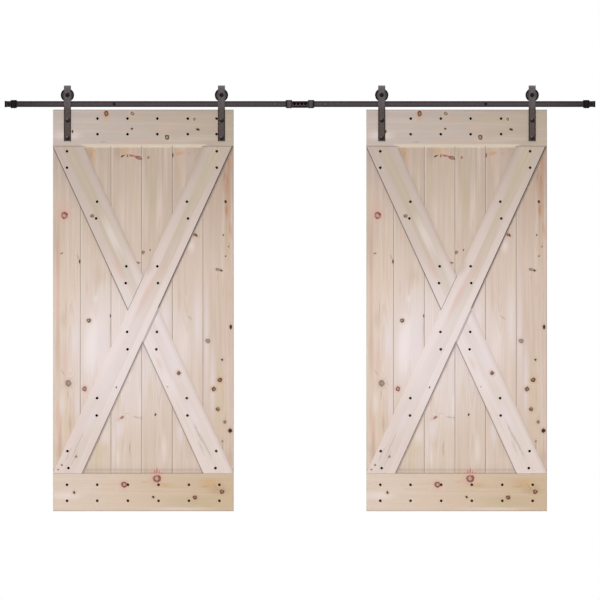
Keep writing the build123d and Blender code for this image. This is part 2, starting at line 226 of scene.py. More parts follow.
# Knots and stains, by board: kind, millimetres from the leaf's left edge and below its top,
# half width and half height, and for some the degrees that they are turned
MARKS = {
    "top_rail": [
        ("brown", 269, 20, 10, 13), ("ring", 400, 20, 9, 9), ("dark", 399, 97, 5, 4),
        ("dark", 99, 111, 3, 7), ("ring", 577, 141, 10, 12), ("ring", 715, 48, 6, 7),
        ("dark", 733, 101, 8, 6, -20), ("gold", 268, 48, 22, 16), ("tan", 640, 34, 130, 16),
        ("olive", 640, 61, 150, 6), ("olive", 880, 30, 40, 40), ("olive", 185, 86, 34, 3),
        ("olive", 265, 85, 26, 3), ("trail", 253, 163, 20, 5), ("pale", 70, 128, 70, 30),
        ("pink", 420, 166, 160, 8), ("pink", 560, 92, 60, 22), ("tan", 420, 48, 60, 26),
    ],
    "bottom_rail": [
        ("red", 526, 1867, 19, 18), ("red", 360, 1897, 14, 13), ("dark", 107, 1938, 6, 6),
        ("dark", 507, 1961, 6, 6), ("brown", 718, 1963, 11, 10, -20), ("brown", 855, 1934, 11, 10),
        ("gold", 796, 1896, 62, 34), ("pink", 300, 1894, 70, 8), ("pink", 506, 1880, 40, 24),
        ("gold", 560, 1898, 60, 14), ("olive", 700, 1990, 150, 30), ("gold", 466, 1884, 26, 5),
        ("trail", 826, 1912, 3, 26, 40), ("trail", 770, 1908, 22, 2, 10),
        ("pale", 60, 1950, 90, 24), ("pale", 640, 2020, 240, 10), ("tan", 840, 1925, 50, 24),
        ("dusk", 840, 1930, 60, 20),
    ],
    "brace_full": [
        ("ring", 117, 1757, 5, 5), ("dark", 320, 1404, 3, 3), ("dark", 43, 1799, 4, 4),
        ("red", 24, 1821, 4, 4), ("check", 128, 1690, 2, 60), ("check", 108, 1764, 2, 40),
        ("check", 78, 1744, 2, 36), ("pink", 470, 940, 26, 130), ("pink", 560, 800, 20, 90),
        ("pale", 300, 1250, 40, 160), ("lilac", 270, 1380, 26, 120), ("lilac", 190, 1570, 26, 120),
        ("dusk", 486, 800, 26, 60),
    ],
    "brace_upper": [
        ("ring", 200, 538, 9, 8), ("pale", 300, 640, 22, 120), ("pink", 330, 800, 16, 70),
    ],
    "brace_lower": [
        ("brown", 636, 1333, 8, 9), ("dark", 580, 1404, 2, 2), ("pink", 540, 1290, 14, 50),
        ("cream", 640, 1590, 16, 190), ("check", 736, 1640, 3, 50), ("check", 772, 1700, 3, 60),
        ("check", 752, 1712, 2, 40), ("lilac", 716, 1560, 26, 120), ("lilac", 600, 1270, 26, 120),
        ("pale", 580, 1370, 24, 100),
    ],
    "plank_1": [
        ("red", 58, 536, 15, 17), ("trail", 126, 746, 6, 18, 25), ("dark", 136, 768, 3, 10),
        ("grey", 78, 1386, 14, 15), ("dark", 39, 728, 2, 3), ("dark", 47, 727, 2, 3),
        ("swirl", 70, 800, 15, 90), ("pink", 24, 900, 12, 460), ("pink", 60, 500, 40, 50),
        ("cream", 112, 640, 20, 110), ("pink", 60, 1270, 26, 120), ("tan", 52, 1060, 26, 60),
        ("lilac", 122, 1500, 14, 100), ("dusk", 88, 1590, 12, 50), ("cream", 62, 1500, 14, 100),
        ("tan", 20, 1560, 10, 120), ("trail", 76, 1440, 4, 36), ("trail", 50, 1330, 4, 20, 30),
        ("pink", 34, 1620, 16, 160), ("trail", 66, 1010, 3, 60), ("dusk", 20, 700, 24, 200),
        ("dusk", 28, 1730, 34, 90), ("tan", 24, 1200, 20, 160), ("lilac", 112, 1170, 26, 100),
        ("pale", 48, 1490, 18, 70),
    ],
    "plank_2": [
        ("ring", 181, 1067, 9, 9), ("red", 160, 1413, 10, 11), ("dark", 291, 1044, 3, 7),
        ("gold", 206, 240, 16, 70), ("pink", 200, 330, 12, 50), ("pink", 182, 645, 12, 50),
        ("pale", 230, 1150, 34, 150), ("pale", 214, 956, 14, 24), ("tan", 240, 840, 46, 70),
        ("cream", 230, 1740, 30, 130), ("cream", 262, 1700, 14, 50), ("trail", 290, 1100, 2, 60),
        ("pink", 170, 900, 10, 60), ("trail", 193, 228, 3, 22, -8), ("trail", 209, 206, 3, 12, 20),
        ("dusk", 180, 215, 30, 60), ("lilac", 250, 1210, 40, 170), ("pale", 262, 1650, 30, 60),
        ("white", 188, 1185, 36, 190), ("gold", 186, 206, 34, 18),
    ],
    "plank_3": [
        ("gold", 358, 213, 24, 22), ("dark", 353, 235, 11, 3, 32), ("dark", 378, 233, 3, 6),
        ("spike", 412, 237, 26, 5, -14), ("spike", 434, 244, 18, 8, -14), ("dark", 448, 249, 3, 7),
        ("pink", 400, 222, 26, 14), ("spike", 428, 775, 13, 4), ("pink", 376, 1378, 12, 14),
        ("pink", 340, 1562, 30, 14, 26), ("amber", 344, 1561, 22, 7, 32),
        ("spike", 350, 1557, 8, 4, 32), ("trail", 374, 1538, 16, 3, 10),
        ("trail", 424, 1557, 22, 5, -8), ("trail", 445, 1560, 4, 14), ("crack", 388, 1716, 1.5, 30),
        ("olive", 322, 420, 14, 170), ("pale", 440, 1500, 10, 80), ("cream", 330, 1440, 20, 90),
        ("pale", 330, 1760, 10, 90), ("dusk", 326, 215, 30, 60), ("lilac", 308, 1690, 12, 130),
        ("lilac", 334, 1620, 22, 70), ("pale", 420, 1216, 30, 60),
    ],
    "plank_4": [
        ("spike", 482, 243, 5, 8), ("trail", 484, 214, 2, 18), ("ring", 456, 722, 7, 8),
        ("dark", 492, 709, 3, 4), ("dark", 518, 1543, 4, 5), ("olive", 500, 470, 40, 190),
        ("pink", 462, 690, 14, 30), ("pale", 560, 1720, 20, 90), ("rays", 526, 1834, 3, 18),
        ("rays", 516, 1838, 2, 15, 18), ("rays", 537, 1838, 2, 15, -18),
        ("rays", 506, 1843, 2, 10, 40), ("rays", 547, 1843, 2, 10, -40),
        ("pink", 526, 1836, 24, 18), ("pink", 510, 1842, 70, 8), ("cream", 490, 1420, 16, 100),
        ("lilac", 572, 1060, 24, 90),
    ],
    "plank_5": [
        ("dark", 605, 232, 4, 9), ("gold", 640, 220, 42, 16, 12), ("amber", 642, 222, 34, 9, 14),
        ("trail", 688, 222, 5, 12), ("gold", 700, 218, 14, 12), ("brown", 719, 633, 13, 6, -25),
        ("gold", 702, 622, 12, 14), ("trail", 690, 1052, 22, 5, -38), ("pale", 700, 690, 20, 40),
        ("pale", 660, 1200, 34, 170), ("pink", 640, 960, 10, 60), ("olive", 690, 1460, 18, 80),
        ("tan", 640, 300, 40, 90), ("olive", 670, 450, 50, 90), ("lilac", 732, 1080, 26, 220),
        ("lilac", 644, 1620, 24, 80),
    ],
    "plank_6": [
        ("dark", 874, 466, 6, 8), ("dark", 863, 635, 4, 4), ("dark", 889, 693, 3, 3),
        ("dark", 874, 742, 3, 3), ("grey", 838, 810, 14, 6, -12), ("dark", 850, 814, 6, 4, -12),
        ("dark", 900, 1100, 6, 10), ("grey", 783, 1170, 11, 10), ("trail", 789, 1132, 2, 22, -12),
        ("dark", 855, 1265, 5, 6), ("brown", 844, 1368, 10, 10), ("brown", 813, 1414, 10, 10),
        ("brown", 835, 1515, 9, 9), ("spike", 870, 1581, 7, 9), ("dark", 896, 1625, 9, 10),
        ("grey", 857, 1679, 5, 6), ("trail", 872, 1560, 2, 40), ("trail", 858, 1710, 2, 40),
        ("trail", 833, 850, 2, 34), ("trail", 896, 1690, 2, 60), ("trail", 838, 1340, 2, 34),
        ("amber", 880, 506, 14, 50), ("amber", 888, 268, 10, 56), ("amber", 882, 380, 12, 80),
        ("rust", 866, 342, 3, 28, -6), ("rust", 883, 352, 3, 34, 8), ("amber", 902, 615, 8, 66),
        ("rust", 876, 508, 4, 30), ("rust", 893, 602, 3, 30), ("rust", 892, 686, 2.5, 24),
        ("tan", 896, 800, 10, 150), ("olive", 896, 943, 8, 26), ("pink", 800, 1340, 14, 50),
        ("cream", 850, 1430, 34, 190), ("lilac", 778, 1180, 18, 430), ("lilac", 806, 1380, 20, 240),
        ("tan", 880, 640, 20, 120), ("dusk", 886, 350, 44, 280), ("dusk", 896, 1760, 18, 60),
        ("dusk", 790, 250, 40, 90),
    ],
}

# Knot kinds: rim, heart and halo, how strongly they show, and how far the grain bends round them
KNOTS = {
    "brown": ((70, 46, 34), (158, 126, 102), (200, 160, 132), 1.0, 1.0),
    "ring": ((62, 46, 38), (168, 146, 126), (204, 178, 154), 0.9, 1.0),
    "red": ((112, 60, 54), (196, 152, 138), (212, 166, 152), 0.9, 1.2),
    "grey": ((102, 82, 70), (144, 124, 108), (196, 172, 152), 0.75, 1.3),
    "dark": ((56, 38, 30), (60, 40, 32), (192, 158, 134), 1.0, 0.6),
    "spike": ((112, 70, 64), (158, 110, 104), (208, 170, 154), 0.85, 0.6),
    "crack": ((104, 84, 70), (104, 84, 70), (196, 172, 152), 0.6, 0.2),
    "check": ((164, 146, 134), (164, 146, 134), (206, 190, 182), 0.4, 0.3),
    "rays": ((172, 96, 84), (172, 96, 84), (212, 164, 148), 0.75, 0.0),
    "swirl": ((180, 150, 128), (180, 150, 128), (200, 172, 152), 0.0, 1.5),
}
STAINS = {
    "tan": ((196, 170, 142), 0.42),
    "gold": ((198, 160, 116), 0.55),
    "amber": ((198, 138, 100), 0.6),
    "rust": ((156, 98, 74), 0.55),
    "pink": ((212, 170, 156), 0.38),
    "cream": ((208, 190, 158), 0.42),
    "olive": ((184, 172, 138), 0.42),
    # dusk is painted shade
    "dusk": ((150, 120, 98), 0.26),
    "lilac": ((227, 216, 219), 0.6),
    "pale": ((233, 221, 218), 0.5),
    # white is painted light, within the painted pool of light
    "white": ((246, 236, 238), 0.5),
    "trail": ((150, 118, 100), 0.45),
}

# A board's noises: how fine they are along, through and across its grain, which of these ways
# its seed shifts them, their detail and their roughness
GRAIN = {
    "wander": ((1.1, 5.0, 5.0), (1, 0, 0), 3.0, 0.5),
    "drift": ((0.7, 2.0, 1.0), (0, 1, 0), 1.0, 0.5),
    "wobble": ((9.0, 60.0, 60.0), (1, 0, 0), 2.0, 0.5),
    "fibre": ((14.0, 1100.0, 1100.0), (1, 0, 0), 3.0, 0.6),
    "streak": ((1.6, 70.0, 70.0), (0, 1, 0), 3.0, 0.6),
    "thread": ((3.5, 210.0, 210.0), (0, 0, 1), 2.0, 0.6),
    "tint": ((2.2, 11.0, 11.0), (1, 1, 0), 2.5, 0.5),
}
# The heart line of a board's rings: its depth, its drift, and how far aside the seed puts it
HEART_DEPTH = 0.035
HEART_DRIFT = 0.12
HEART_SPREAD = 0.05
SEED_SPREAD = 0.37
RING_WIDTH = 0.0062
# By how many rings the grain wanders and wobbles, and bends beside a knot
RING_WANDER = 3.4
RING_WOBBLE = 0.5
RING_BEND = 1.6
# Where late wood starts and ends, in parts of a ring
LATE_START = (0.25, 0.86)
LATE_END = (0.9, 1.0)
# A knot's outline is pushed about: how far, how finely, and how fine the breaks in its rim are
KNOT_PUSH = 0.011
KNOT_PUSH_FINENESS = 75.0
RIM_BREAKS = 60.0
# Fades in half sizes from a mark's middle: a knot's rim, edge, halo and bent grain, and a stain
KNOT_RIM = (0.3, 0.7)
KNOT_EDGE = (0.9, 1.3)
KNOT_HALO = (0.8, 2.8)
HALO_STRENGTH = 0.55
KNOT_BEND = (0.6, 4.5)
STAIN_EDGE = (0.0, 1.3)

# From here on, a line, shade, edge, glow or fade is given by the distances at which it starts
# and ends, and its strength

CREAM_TINT = (210, 192, 166)
BLUSH_TINT = (224, 204, 198)
PALE_STREAK = (236, 224, 214)
DARK_STREAK = (176, 150, 128)
LATE_WOOD = (184, 150, 124)
# How strongly the tints, the pale and dark streaks and the late wood show
ON_PLANKS = {"tint": 0.252, "pale": 0.234, "dark": 0.198, "late": 0.18}
ON_OTHERS = {"tint": 0.14, "pale": 0.13, "dark": 0.11, "late": 0.10}
# Between which drops below the leaf's top a board's tone changes from its foot to its darker
# head, a painted shade
TONE_DROPS = (0.95, 0.05)
# A painted pool of light on the leaf's front: its middle from the leaf's left top corner, its
# half sizes and its edge
LIGHT_POOL = (234, 222, 221)
LIGHT_POOL_SPOT = (0.364, -1.206)
LIGHT_POOL_HALVES = (0.40, 0.48)
LIGHT_POOL_EDGE = (0.3, 1.1, 0.75)
# Painted light and shade stay in front of this depth, from a board's middle
FRONT_DEPTH = -0.004
FRONT_FADE = 0.004

# Darker tones along the leaf's outer edges; the broad one down from the top is painted shade
LEFT_EDGE_TONE = (188, 184, 166)
OUTER_EDGE_TONE = (150, 140, 134)
EDGE_TONES = (
    ("left", (0.001, 0.006, 0.3), LEFT_EDGE_TONE),
    ("right", (0.001, 0.006, 0.45), OUTER_EDGE_TONE),
    ("foot", (0.001, 0.007, 0.6), OUTER_EDGE_TONE),
    ("top", (0.001, 0.008, 0.55), OUTER_EDGE_TONE),
    ("top", (0.0, 0.09, 0.2), OUTER_EDGE_TONE),
)

# The planks: painted light under the top rail, and painted shadow lines and shade along the
# bottom rail's top
UNDER_RAIL = (224, 210, 188)
LIT_ARRIS = (255, 246, 230)
SILL_SHADOW = (140, 118, 106)
UNDER_RAIL_GLOW = (0.004, 0.014, 0.55)
UNDER_RAIL_LINE = (0.002, 0.005, 0.8)
SILL_DARK = (0.001, 0.005, 0.7)
SILL_SECOND_UP = 0.019
SILL_SECOND = (0.002, 0.008, 0.2)
SILL_SHADE = (0.0, 0.07, 0.12)
# The joints between the planks, the first one from the leaf's left edge, each with a painted
# highlight beside it
JOINT_LINE = (128, 112, 102)
FIRST_JOINT = 0.1384
PLANK_PITCH = 0.1552
JOINT_HIGHLIGHT = (0.003, 0.009, 0.3)
JOINT_DARK = (0.0012, 0.0030, 0.42)
# The top rail's lower edge has painted light between the braces' heads: its ends, off the
# leaf's middle
TOP_RAIL_LIT = (0.002, 0.014, 0.75)
TOP_RAIL_LIT_REACH = (0.30, 0.33)

BRACE_WIDTH = 0.1397
HALF = BRACE_WIDTH / 2
# Painted shadow by the braces' lower edges and beside the half braces, and painted shade on their
# upper edges
SHADOW_LINE = (46, 30, 22)
EDGE_SHADE = (240, 239, 238)
# Distances across a brace from its centreline
BAND = (187, 173, 150)
BAND_FADE = (0.014, 0.036)
BAND_WANDER = 0.05
UPPER_FADE = (HALF - 0.020, HALF - 0.006)
# The painted shadow lines: the through brace's, with its inner and outer side, and a half brace's
LINE_INNER = (HALF - 0.0092, HALF - 0.0068)
LINE_OUTER = (HALF - 0.004, HALF - 0.002, 1.0, 0.3)
HALF_BRACE_LINE = (HALF - 0.0012, HALF - 0.0004, 0.7)
THROUGH_SHADOW = (HALF + 0.001, HALF + 0.0035, 0.6)
PLANK_SHADOW_MIDDLE = HALF + 0.0018
PLANK_SHADOW = (0.0014, 0.0026)
# Along a brace: two drops below the leaf's top, and the strengths there
BAND_BY_HEIGHT = (1.2, 0.3, 0.15, 0.7)
LINE_BY_HEIGHT = (1.3, 0.9, 0.76, 0.94)
SHADOW_BY_HEIGHT = (1.3, 0.9, 0.46, 0.64)
FADE_BY_HEIGHT = {
    "brace_full": (1.3, 0.5, 0.0, 0.6),
    "brace_upper": (1.3, 0.5, 0.6, 0.6),
    "brace_lower": (1.3, 0.5, 0.75, 0.75),
}
# The through brace's painted shadow line is weaker where the lower half brace butts on it: the
# drop to that stretch's middle, its ends from there, and the strengths inside and outside it
BUTT_DROP = 1.0895
BUTT_ENDS = (0.0805, 0.0885, 0.5, 1.0)
# Painted shade on a brace's head, just under the top rail
BRACE_TOP = (140, 124, 112)
BRACE_TOP_SHADE = (0.002, 0.008, 0.45)


def leaf_edges(side):
    """A leaf's left and right edge, foot and top."""
    top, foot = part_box(f"{side}_top_rail"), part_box(f"{side}_bottom_rail")
    return top[0][0], top[1][0], foot[0][2], top[1][2]


def box_middle(node):
    low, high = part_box(node)
    return tuple((a + b) / 2 for a, b in zip(low, high))


def board_angle(side, board):
    """The direction of a board's grain, from X towards Z."""
    if board.startswith("plank"):
        return math.pi / 2
    if board.endswith("rail"):
        return 0.0
    # A brace's slope follows from the room that the through brace crosses and its width
    low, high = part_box(f"{side}_brace_full")
    span, rise = high[0] - low[0], high[2] - low[2]
    diagonal = math.sqrt(rise**2 + span**2 - BRACE_WIDTH**2)
    run = rise * (span * rise - BRACE_WIDTH * diagonal) / (rise**2 - BRACE_WIDTH**2)
    return math.atan2(rise, run if board == "brace_full" else -run)


def off_centre(side, board):
    """How far across a half brace's centreline lies from the middle of its box."""
    if board not in ("brace_upper", "brace_lower"):
        return 0.0
    low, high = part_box(f"{side}_{board}")
    angle = board_angle(side, board)
    corner = (high[0] - low[0]) / 2 * math.sin(angle) + (high[2] - low[2]) / 2 * math.cos(angle)
    return (corner - HALF) * (1 if board == "brace_upper" else -1)


class Pine(Finish):
    """One board's flat-sawn pine: rings, fibres, a wandering tint, knots and stains."""

    def __init__(self, side, board, seed):
        super().__init__(f"pine_{side}_{board}")
        self.side, self.board, self.seed = side, board, seed
        self.is_plank, self.is_rail = board.startswith("plank"), board.endswith("rail")
        self.shows = ON_PLANKS if self.is_plank else ON_OTHERS
        self.left, self.right, self.foot, self.top = leaf_edges(side)
        self.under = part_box(f"{side}_top_rail")[0][2]
        self.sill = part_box(f"{side}_bottom_rail")[1][2]
        leaf = self.place()
        self.sideways, self.height = leaf.part("X"), leaf.part("Z")
        self.centre = box_middle(f"{side}_{board}")
        self.angle = board_angle(side, board)
        self.local = self.place(self.centre, self.angle)
        self.across = self.local.part("Z") - off_centre(side, board)
        self.deep = self.local.part("Y")
        self.grain = {}
        for name, (fineness, ways, detail, roughness) in GRAIN.items():
            spot = self.local.stretched(fineness, tuple(seed * way for way in ways))
            self.grain[name] = self.noise(spot, 1.0, detail, roughness)

    def by_height(self, low_drop, high_drop, low, high):
        """A value that changes between two drops below the leaf's top."""
        return self.height.ramp(self.top - low_drop, self.top - high_drop, low, high)

    def from_brace(self, brace):
        """How far across a brace's centreline a point is."""
        slope = board_angle(self.side, brace)
        spot = self.place(box_middle(f"{self.side}_{brace}"), slope)
        return spot.part("Z") - off_centre(self.side, brace)

    def spot(self, x, drop):
        """A place on the leaf's front, along and across this board's grain."""
        aside = self.left + x * MM - self.centre[0]
        up = self.top - drop * MM - self.centre[2]
        cosine, sine = math.cos(self.angle), math.sin(self.angle)
        return aside * cosine + up * sine, up * cosine - aside * sine

    def marks(self):
        """The board's knots and its stains, each with how far a point is from its middle."""
        # Knots are uneven, so they are measured on coordinates that are pushed about
        shaken = self.noise(self.local, KNOT_PUSH_FINENESS, output="Color")
        push = shaken.stretched((KNOT_PUSH, 0.0, KNOT_PUSH), (-KNOT_PUSH / 2, 0.0, -KNOT_PUSH / 2))
        uneven = self.node("VectorMath", {"operation": "ADD"}, {0: self.local, 1: push})
        # A mark's own height lies along a steep grain, and its width along a level one
        upright = 0.0 if self.is_rail else self.angle - math.pi / 2
        knots, stains = [], []
        for kind, x, drop, half_x, half_z, *turn in MARKS[self.board]:
            slant = (math.radians(turn[0]) if turn else upright) - self.angle
            vector, kept = (self.local, stains) if kind in STAINS else (uneven, knots)
            halves = (half_x * MM, half_z * MM)
            kept.append((kind, self.mark(vector, self.spot(x, drop), halves, slant)))
        return knots, stains

    def late_wood(self, knots):
        """The dark side of each growth ring. The rings lie round a heart line behind the face,
        which wanders along the board, and bend beside knots."""
        offset = ((self.seed * SEED_SPREAD) % 1.0 - 0.5) * HEART_SPREAD
        from_heart = (self.across - offset) ** 2
        drift = (self.grain["drift"] - 0.5) * HEART_DRIFT
        depth = (self.deep + HEART_DEPTH + drift) ** 2
        rings = (from_heart + depth) ** 0.5 / RING_WIDTH
        rings = rings + self.grain["wander"] * RING_WANDER + self.grain["wobble"] * RING_WOBBLE
        bends = [distance.fall(*KNOT_BEND, KNOTS[kind][4] * RING_BEND) for kind, distance in knots]
        band = (rings + sum(bends)).fraction()
        return band.rise(*LATE_START) * band.fall(*LATE_END)

    def lay_tone(self):
        """The board's own tone, tinted in places, and a painted pool of light round the leaf's
        middle.
        """
        if self.is_rail:
            along = self.sideways.rise(self.left, self.right)
        else:
            # Boards other than rails darken towards the head: painted shade
            along = self.by_height(*TONE_DROPS, 0.0, 1.0)
        tint, streak = self.grain["tint"], self.grain["streak"]
        self.colour = self.mix(along, *PINE[self.board])
        self.lay(tint.fall(0.30, 0.50, self.shows["tint"]), CREAM_TINT)
        self.lay(tint.rise(0.50, 0.70, self.shows["tint"]), BLUSH_TINT)
        if not self.is_rail:
            # A painted pool of light round the leaf's middle, on the front only
            patch = self.place((self.left, 0.0, self.top))
            light_pool = self.mark(patch, LIGHT_POOL_SPOT, LIGHT_POOL_HALVES)
            light_pool = light_pool + (self.deep - FRONT_DEPTH).rise(0.0, FRONT_FADE)
            light_pool = light_pool + (tint - 0.5) * 0.5 + (streak - 0.5) * 0.3
            self.lay(light_pool.fall(*LIGHT_POOL_EDGE), LIGHT_POOL)

    def lay_band(self):
        """A brace's dull band along its middle."""
        middle = abs(self.across + (self.grain["wander"] - 0.5) * BAND_WANDER)
        self.lay(middle.fall(*BAND_FADE) * self.by_height(*BAND_BY_HEIGHT), BAND)

    def lay_grain(self, late):
        """Late wood, and the pale and dark streaks of the fibres."""
        streak, thread, fibre = (self.grain[name] for name in ("streak", "thread", "fibre"))
        self.lay(late * self.shows["late"], LATE_WOOD)
        shade = (streak - 0.5) * 0.6 + (thread - 0.5) * 0.22 + (fibre - 0.5) * 0.2
        self.lay(shade.rise(0.0, 0.16, self.shows["pale"]), PALE_STREAK)
        self.lay((-shade).rise(0.0, 0.16, self.shows["dark"]), DARK_STREAK)

    def lay_stains(self, stains):
        """Stains, whose edges follow the streaks."""
        blur = (self.grain["streak"] - 0.5) * 1.6
        cloud = (self.grain["tint"] - 0.5) * 0.8
        for kind, distance in stains:
            stain, strength = STAINS[kind]
            self.lay((distance + blur + cloud).fall(*STAIN_EDGE, strength), stain)

    def lay_edge_tones(self):
        """Darker tones along the leaf's outer edges; the broad one at the top is painted shade."""
        inwards = {
            "left": self.sideways - self.left,
            "right": self.right - self.sideways,
            "foot": self.height - self.foot,
            "top": self.top - self.height,
        }
        for edge, edge_fade, colour in EDGE_TONES:
            self.lay(inwards[edge].fall(*edge_fade), colour)

    def lay_plank_lines(self):
        """Painted light and shadow by the rails and half braces, and joints with a painted
        highlight.
        """
        front = (self.deep - FRONT_DEPTH).fall(0.0, FRONT_FADE)
        below, above = self.under - self.height, self.height - self.sill
        self.lay(below.fall(*UNDER_RAIL_GLOW) * front, UNDER_RAIL)
        self.lay(below.fall(*UNDER_RAIL_LINE) * front, LIT_ARRIS)
        self.lay(above.fall(*SILL_DARK) * front, SILL_SHADOW)
        self.lay(abs(above - SILL_SECOND_UP).fall(*SILL_SECOND) * front, SILL_SHADOW)
        self.lay(above.fall(*SILL_SHADE), SILL_SHADOW)
        planks = (self.sideways - self.left - FIRST_JOINT) / PLANK_PITCH
        self.lay((planks.fraction() * PLANK_PITCH).fall(*JOINT_HIGHLIGHT), PALE_STREAK)
        joint = abs((planks + 0.5).fraction() - 0.5) * PLANK_PITCH
        self.lay(joint.fall(*JOINT_DARK), JOINT_LINE)
        shadow = abs(self.from_brace("brace_upper") - PLANK_SHADOW_MIDDLE).fall(*PLANK_SHADOW)
        self.lay(shadow * self.by_height(*SHADOW_BY_HEIGHT) * front, SHADOW_LINE)

    def lay_top_rail_light(self):
        """The top rail's lower edge, with painted light between the heads of the braces."""
        aside = abs(self.sideways - (self.left + self.right) / 2).fall(*TOP_RAIL_LIT_REACH)
        self.lay((self.height - self.under).fall(*TOP_RAIL_LIT) * aside, UNDER_RAIL)

    def lay_brace_lines(self):
        """A brace's upper edge and head in painted shade, and a painted shadow line by its lower
        edge.
        """
        upper = self.across if self.board == "brace_full" else -self.across
        lower = -upper
        fade = upper.rise(*UPPER_FADE) * self.by_height(*FADE_BY_HEIGHT[self.board])
        self.lay(fade, EDGE_SHADE, "MULTIPLY")
        if self.board == "brace_full":
            butt = abs(self.height - (self.top - BUTT_DROP)).ramp(*BUTT_ENDS)
            line = lower.rise(*LINE_INNER) * lower.ramp(*LINE_OUTER) * butt
            line = line * self.by_height(*LINE_BY_HEIGHT)
        else:
            shadow = abs(self.from_brace("brace_full")).fall(*THROUGH_SHADOW)
            line = shadow.larger(lower.rise(*HALF_BRACE_LINE))
        self.lay(line, SHADOW_LINE)
        self.lay((self.under - self.height).fall(*BRACE_TOP_SHADE), BRACE_TOP)

    def lay_knots(self, knots):
        """A halo, a heart and a broken rim for each knot. Returns where the knots are."""
        spot = self.local.stretched((1, 1, 1), (self.seed, 0, self.seed))
        broken = self.noise(spot, RIM_BREAKS, 1.0).ramp(0.3, 0.55, 0.5, 1.0)
        found = 0.0
        for kind, distance in knots:
            rim, heart, halo, strength, _ = KNOTS[kind]
            if not strength:
                continue
            self.lay(distance.fall(*KNOT_HALO, strength * HALO_STRENGTH), halo)
            inside = distance.fall(*KNOT_EDGE)
            ring = distance.rise(*KNOT_RIM) * broken
            self.lay(inside * strength, self.mix(ring, heart, rim))
            found = inside.larger(found)
        return found


def pine(side, board, seed):
    """One board's pine, laid on from its own tone to its knots."""
    wood = Pine(side, board, seed)
    knots, stains = wood.marks()
    late = wood.late_wood(knots)
    wood.lay_tone()
    if board in FADE_BY_HEIGHT:
        wood.lay_band()
    wood.lay_grain(late)
    wood.lay_stains(stains)
    wood.lay_edge_tones()
    if wood.is_plank:
        wood.lay_plank_lines()
    elif board == "top_rail":
        wood.lay_top_rail_light()
    elif board in FADE_BY_HEIGHT:
        wood.lay_brace_lines()
    sunk = wood.lay_knots(knots)
    fibre, streak = wood.grain["fibre"], wood.grain["streak"]
    relief = fibre * 0.5 + late * 0.35 + streak * 0.3 + sunk * 0.5
    rough = late * -0.12 + fibre * 0.1 + 0.62
    return wood.close_rough(relief, (0.2, 0.0006), rough, 0.3)


# The near black of painted shade on the coats
SHADE_BLACK = (14, 10, 11)
# Powder coat: how fine its speckle, clouds and dimples are, and its lighter and darker shades
SPECKLE, CLOUDS, DIMPLES = 900.0, 90.0, 420.0
LIGHTER, DARKER = 1.8, 0.35
# The rail: painted shade on its upper and lower edges, and towards its ends
RAIL_UPPER_RIM = (0.0045, 0.0080, 0.88)
RAIL_LOWER_RIM = (0.0045, 0.0075)
RAIL_END_SHADE = (1.15, 1.45, 0.4)
# The wall fixings, by distance from the rail's middle: a painted highlight on the pair beside
# the joiner
FIXING_HIGHLIGHT_REACH = (0.2, 0.3)
PLAIN_FIXING = 0.5334
PLAIN_FIXING_REACH = (0.05, 0.08)
# The straps: from the leaf's top up, down from their crown, which has a painted highlight, and
# in from their sides, which have painted shade
STRAP_ABOVE = (0.0, 0.02, 0.8)
STRAP_CROWN_HIGHLIGHT = (0.004, 0.016, 0.7)
STRAP_SIDE, STRAP_SIDE_IN = 0.007, 0.003
# Painted shadow rings round an axle and round a strap bolt, where the shadow falls to the lower
# right
SHADOW_RING_EDGE = (0.85, 1.05)
AXLE_SHADOW_RING = 0.012
STRAP_BOLT_RADIUS = 0.011
BOLT_SHADOW_RING = 0.0125
BOLT_SHADOW = (0.001, -0.002)
# The joiner: painted shade in the bore and a painted highlight on the lip round each bolt, on
# the lip's lower half, and painted shade on the joiner's upper and lower edges
JOINER_PITCH = 0.0188
JOINER_BORE_SHADE = (0.0066, 0.0078)
JOINER_LIP_HIGHLIGHT = (0.0090, 0.0105)
JOINER_HIGHLIGHT_HEIGHT = (-0.002, 0.003, 0.7)
JOINER_UPPER_RIM = (0.006, 0.009, 0.95)
JOINER_LOWER_RIM = (0.006, 0.010, 0.9)
# Domed heads: where light falls on them, in radii, its painted highlight and their painted shade
DOME_LIT = (-0.25, 0.55)
DOME_HIGHLIGHT = (0.05, 0.32, 0.55)
DOME_SHADE = (0.5, 1.0)
DOME_REACH = (1.3, 1.5, 0.9)


class Coat(Finish):
    """Powder coat: a fine speckle on faint clouds, and a dimpled skin."""

    def __init__(self, name, colour, clouds=0.25, centre=(0.0, 0.0, 0.0)):
        super().__init__(name)
        self.spot = self.place(centre)
        self.along, self.height = self.spot.part("X"), self.spot.part("Z")
        self.colour = self.speckled(colour, clouds)

    def speckled(self, colour, clouds=0.25):
        grit = self.noise(self.spot, SPECKLE)
        cloud = self.noise(self.spot, CLOUDS)
        light, dark = paint(colour, LIGHTER), paint(colour, DARKER)
        shown = self.mix(grit.rise(0.52, 0.72, 0.6), colour, light)
        shown = self.mix(grit.fall(0.30, 0.46, 0.6), shown, dark)
        shown = self.mix(cloud.rise(0.45, 0.7, clouds), shown, light)
        return self.mix(cloud.fall(0.3, 0.5, clouds), shown, dark)

    def done(self, shine=0.12):
        dimple = self.noise(self.place(), DIMPLES)
        return self.close_rough(dimple, (0.25, 0.0003), dimple * 0.1 + 0.42, shine)


def rail_coat():
    """The rail's coat, with painted shade where its edges roll away and towards its ends."""
    coat = Coat("rail_coat", (76, 66, 69), 0.15)
    low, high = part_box("rail_left")
    coat.lay((high[2] - coat.height).fall(*RAIL_UPPER_RIM), SHADE_BLACK)
    coat.lay((coat.height - low[2]).fall(*RAIL_LOWER_RIM), SHADE_BLACK)
    coat.lay(abs(coat.along).rise(*RAIL_END_SHADE), SHADE_BLACK)
    return coat.done()


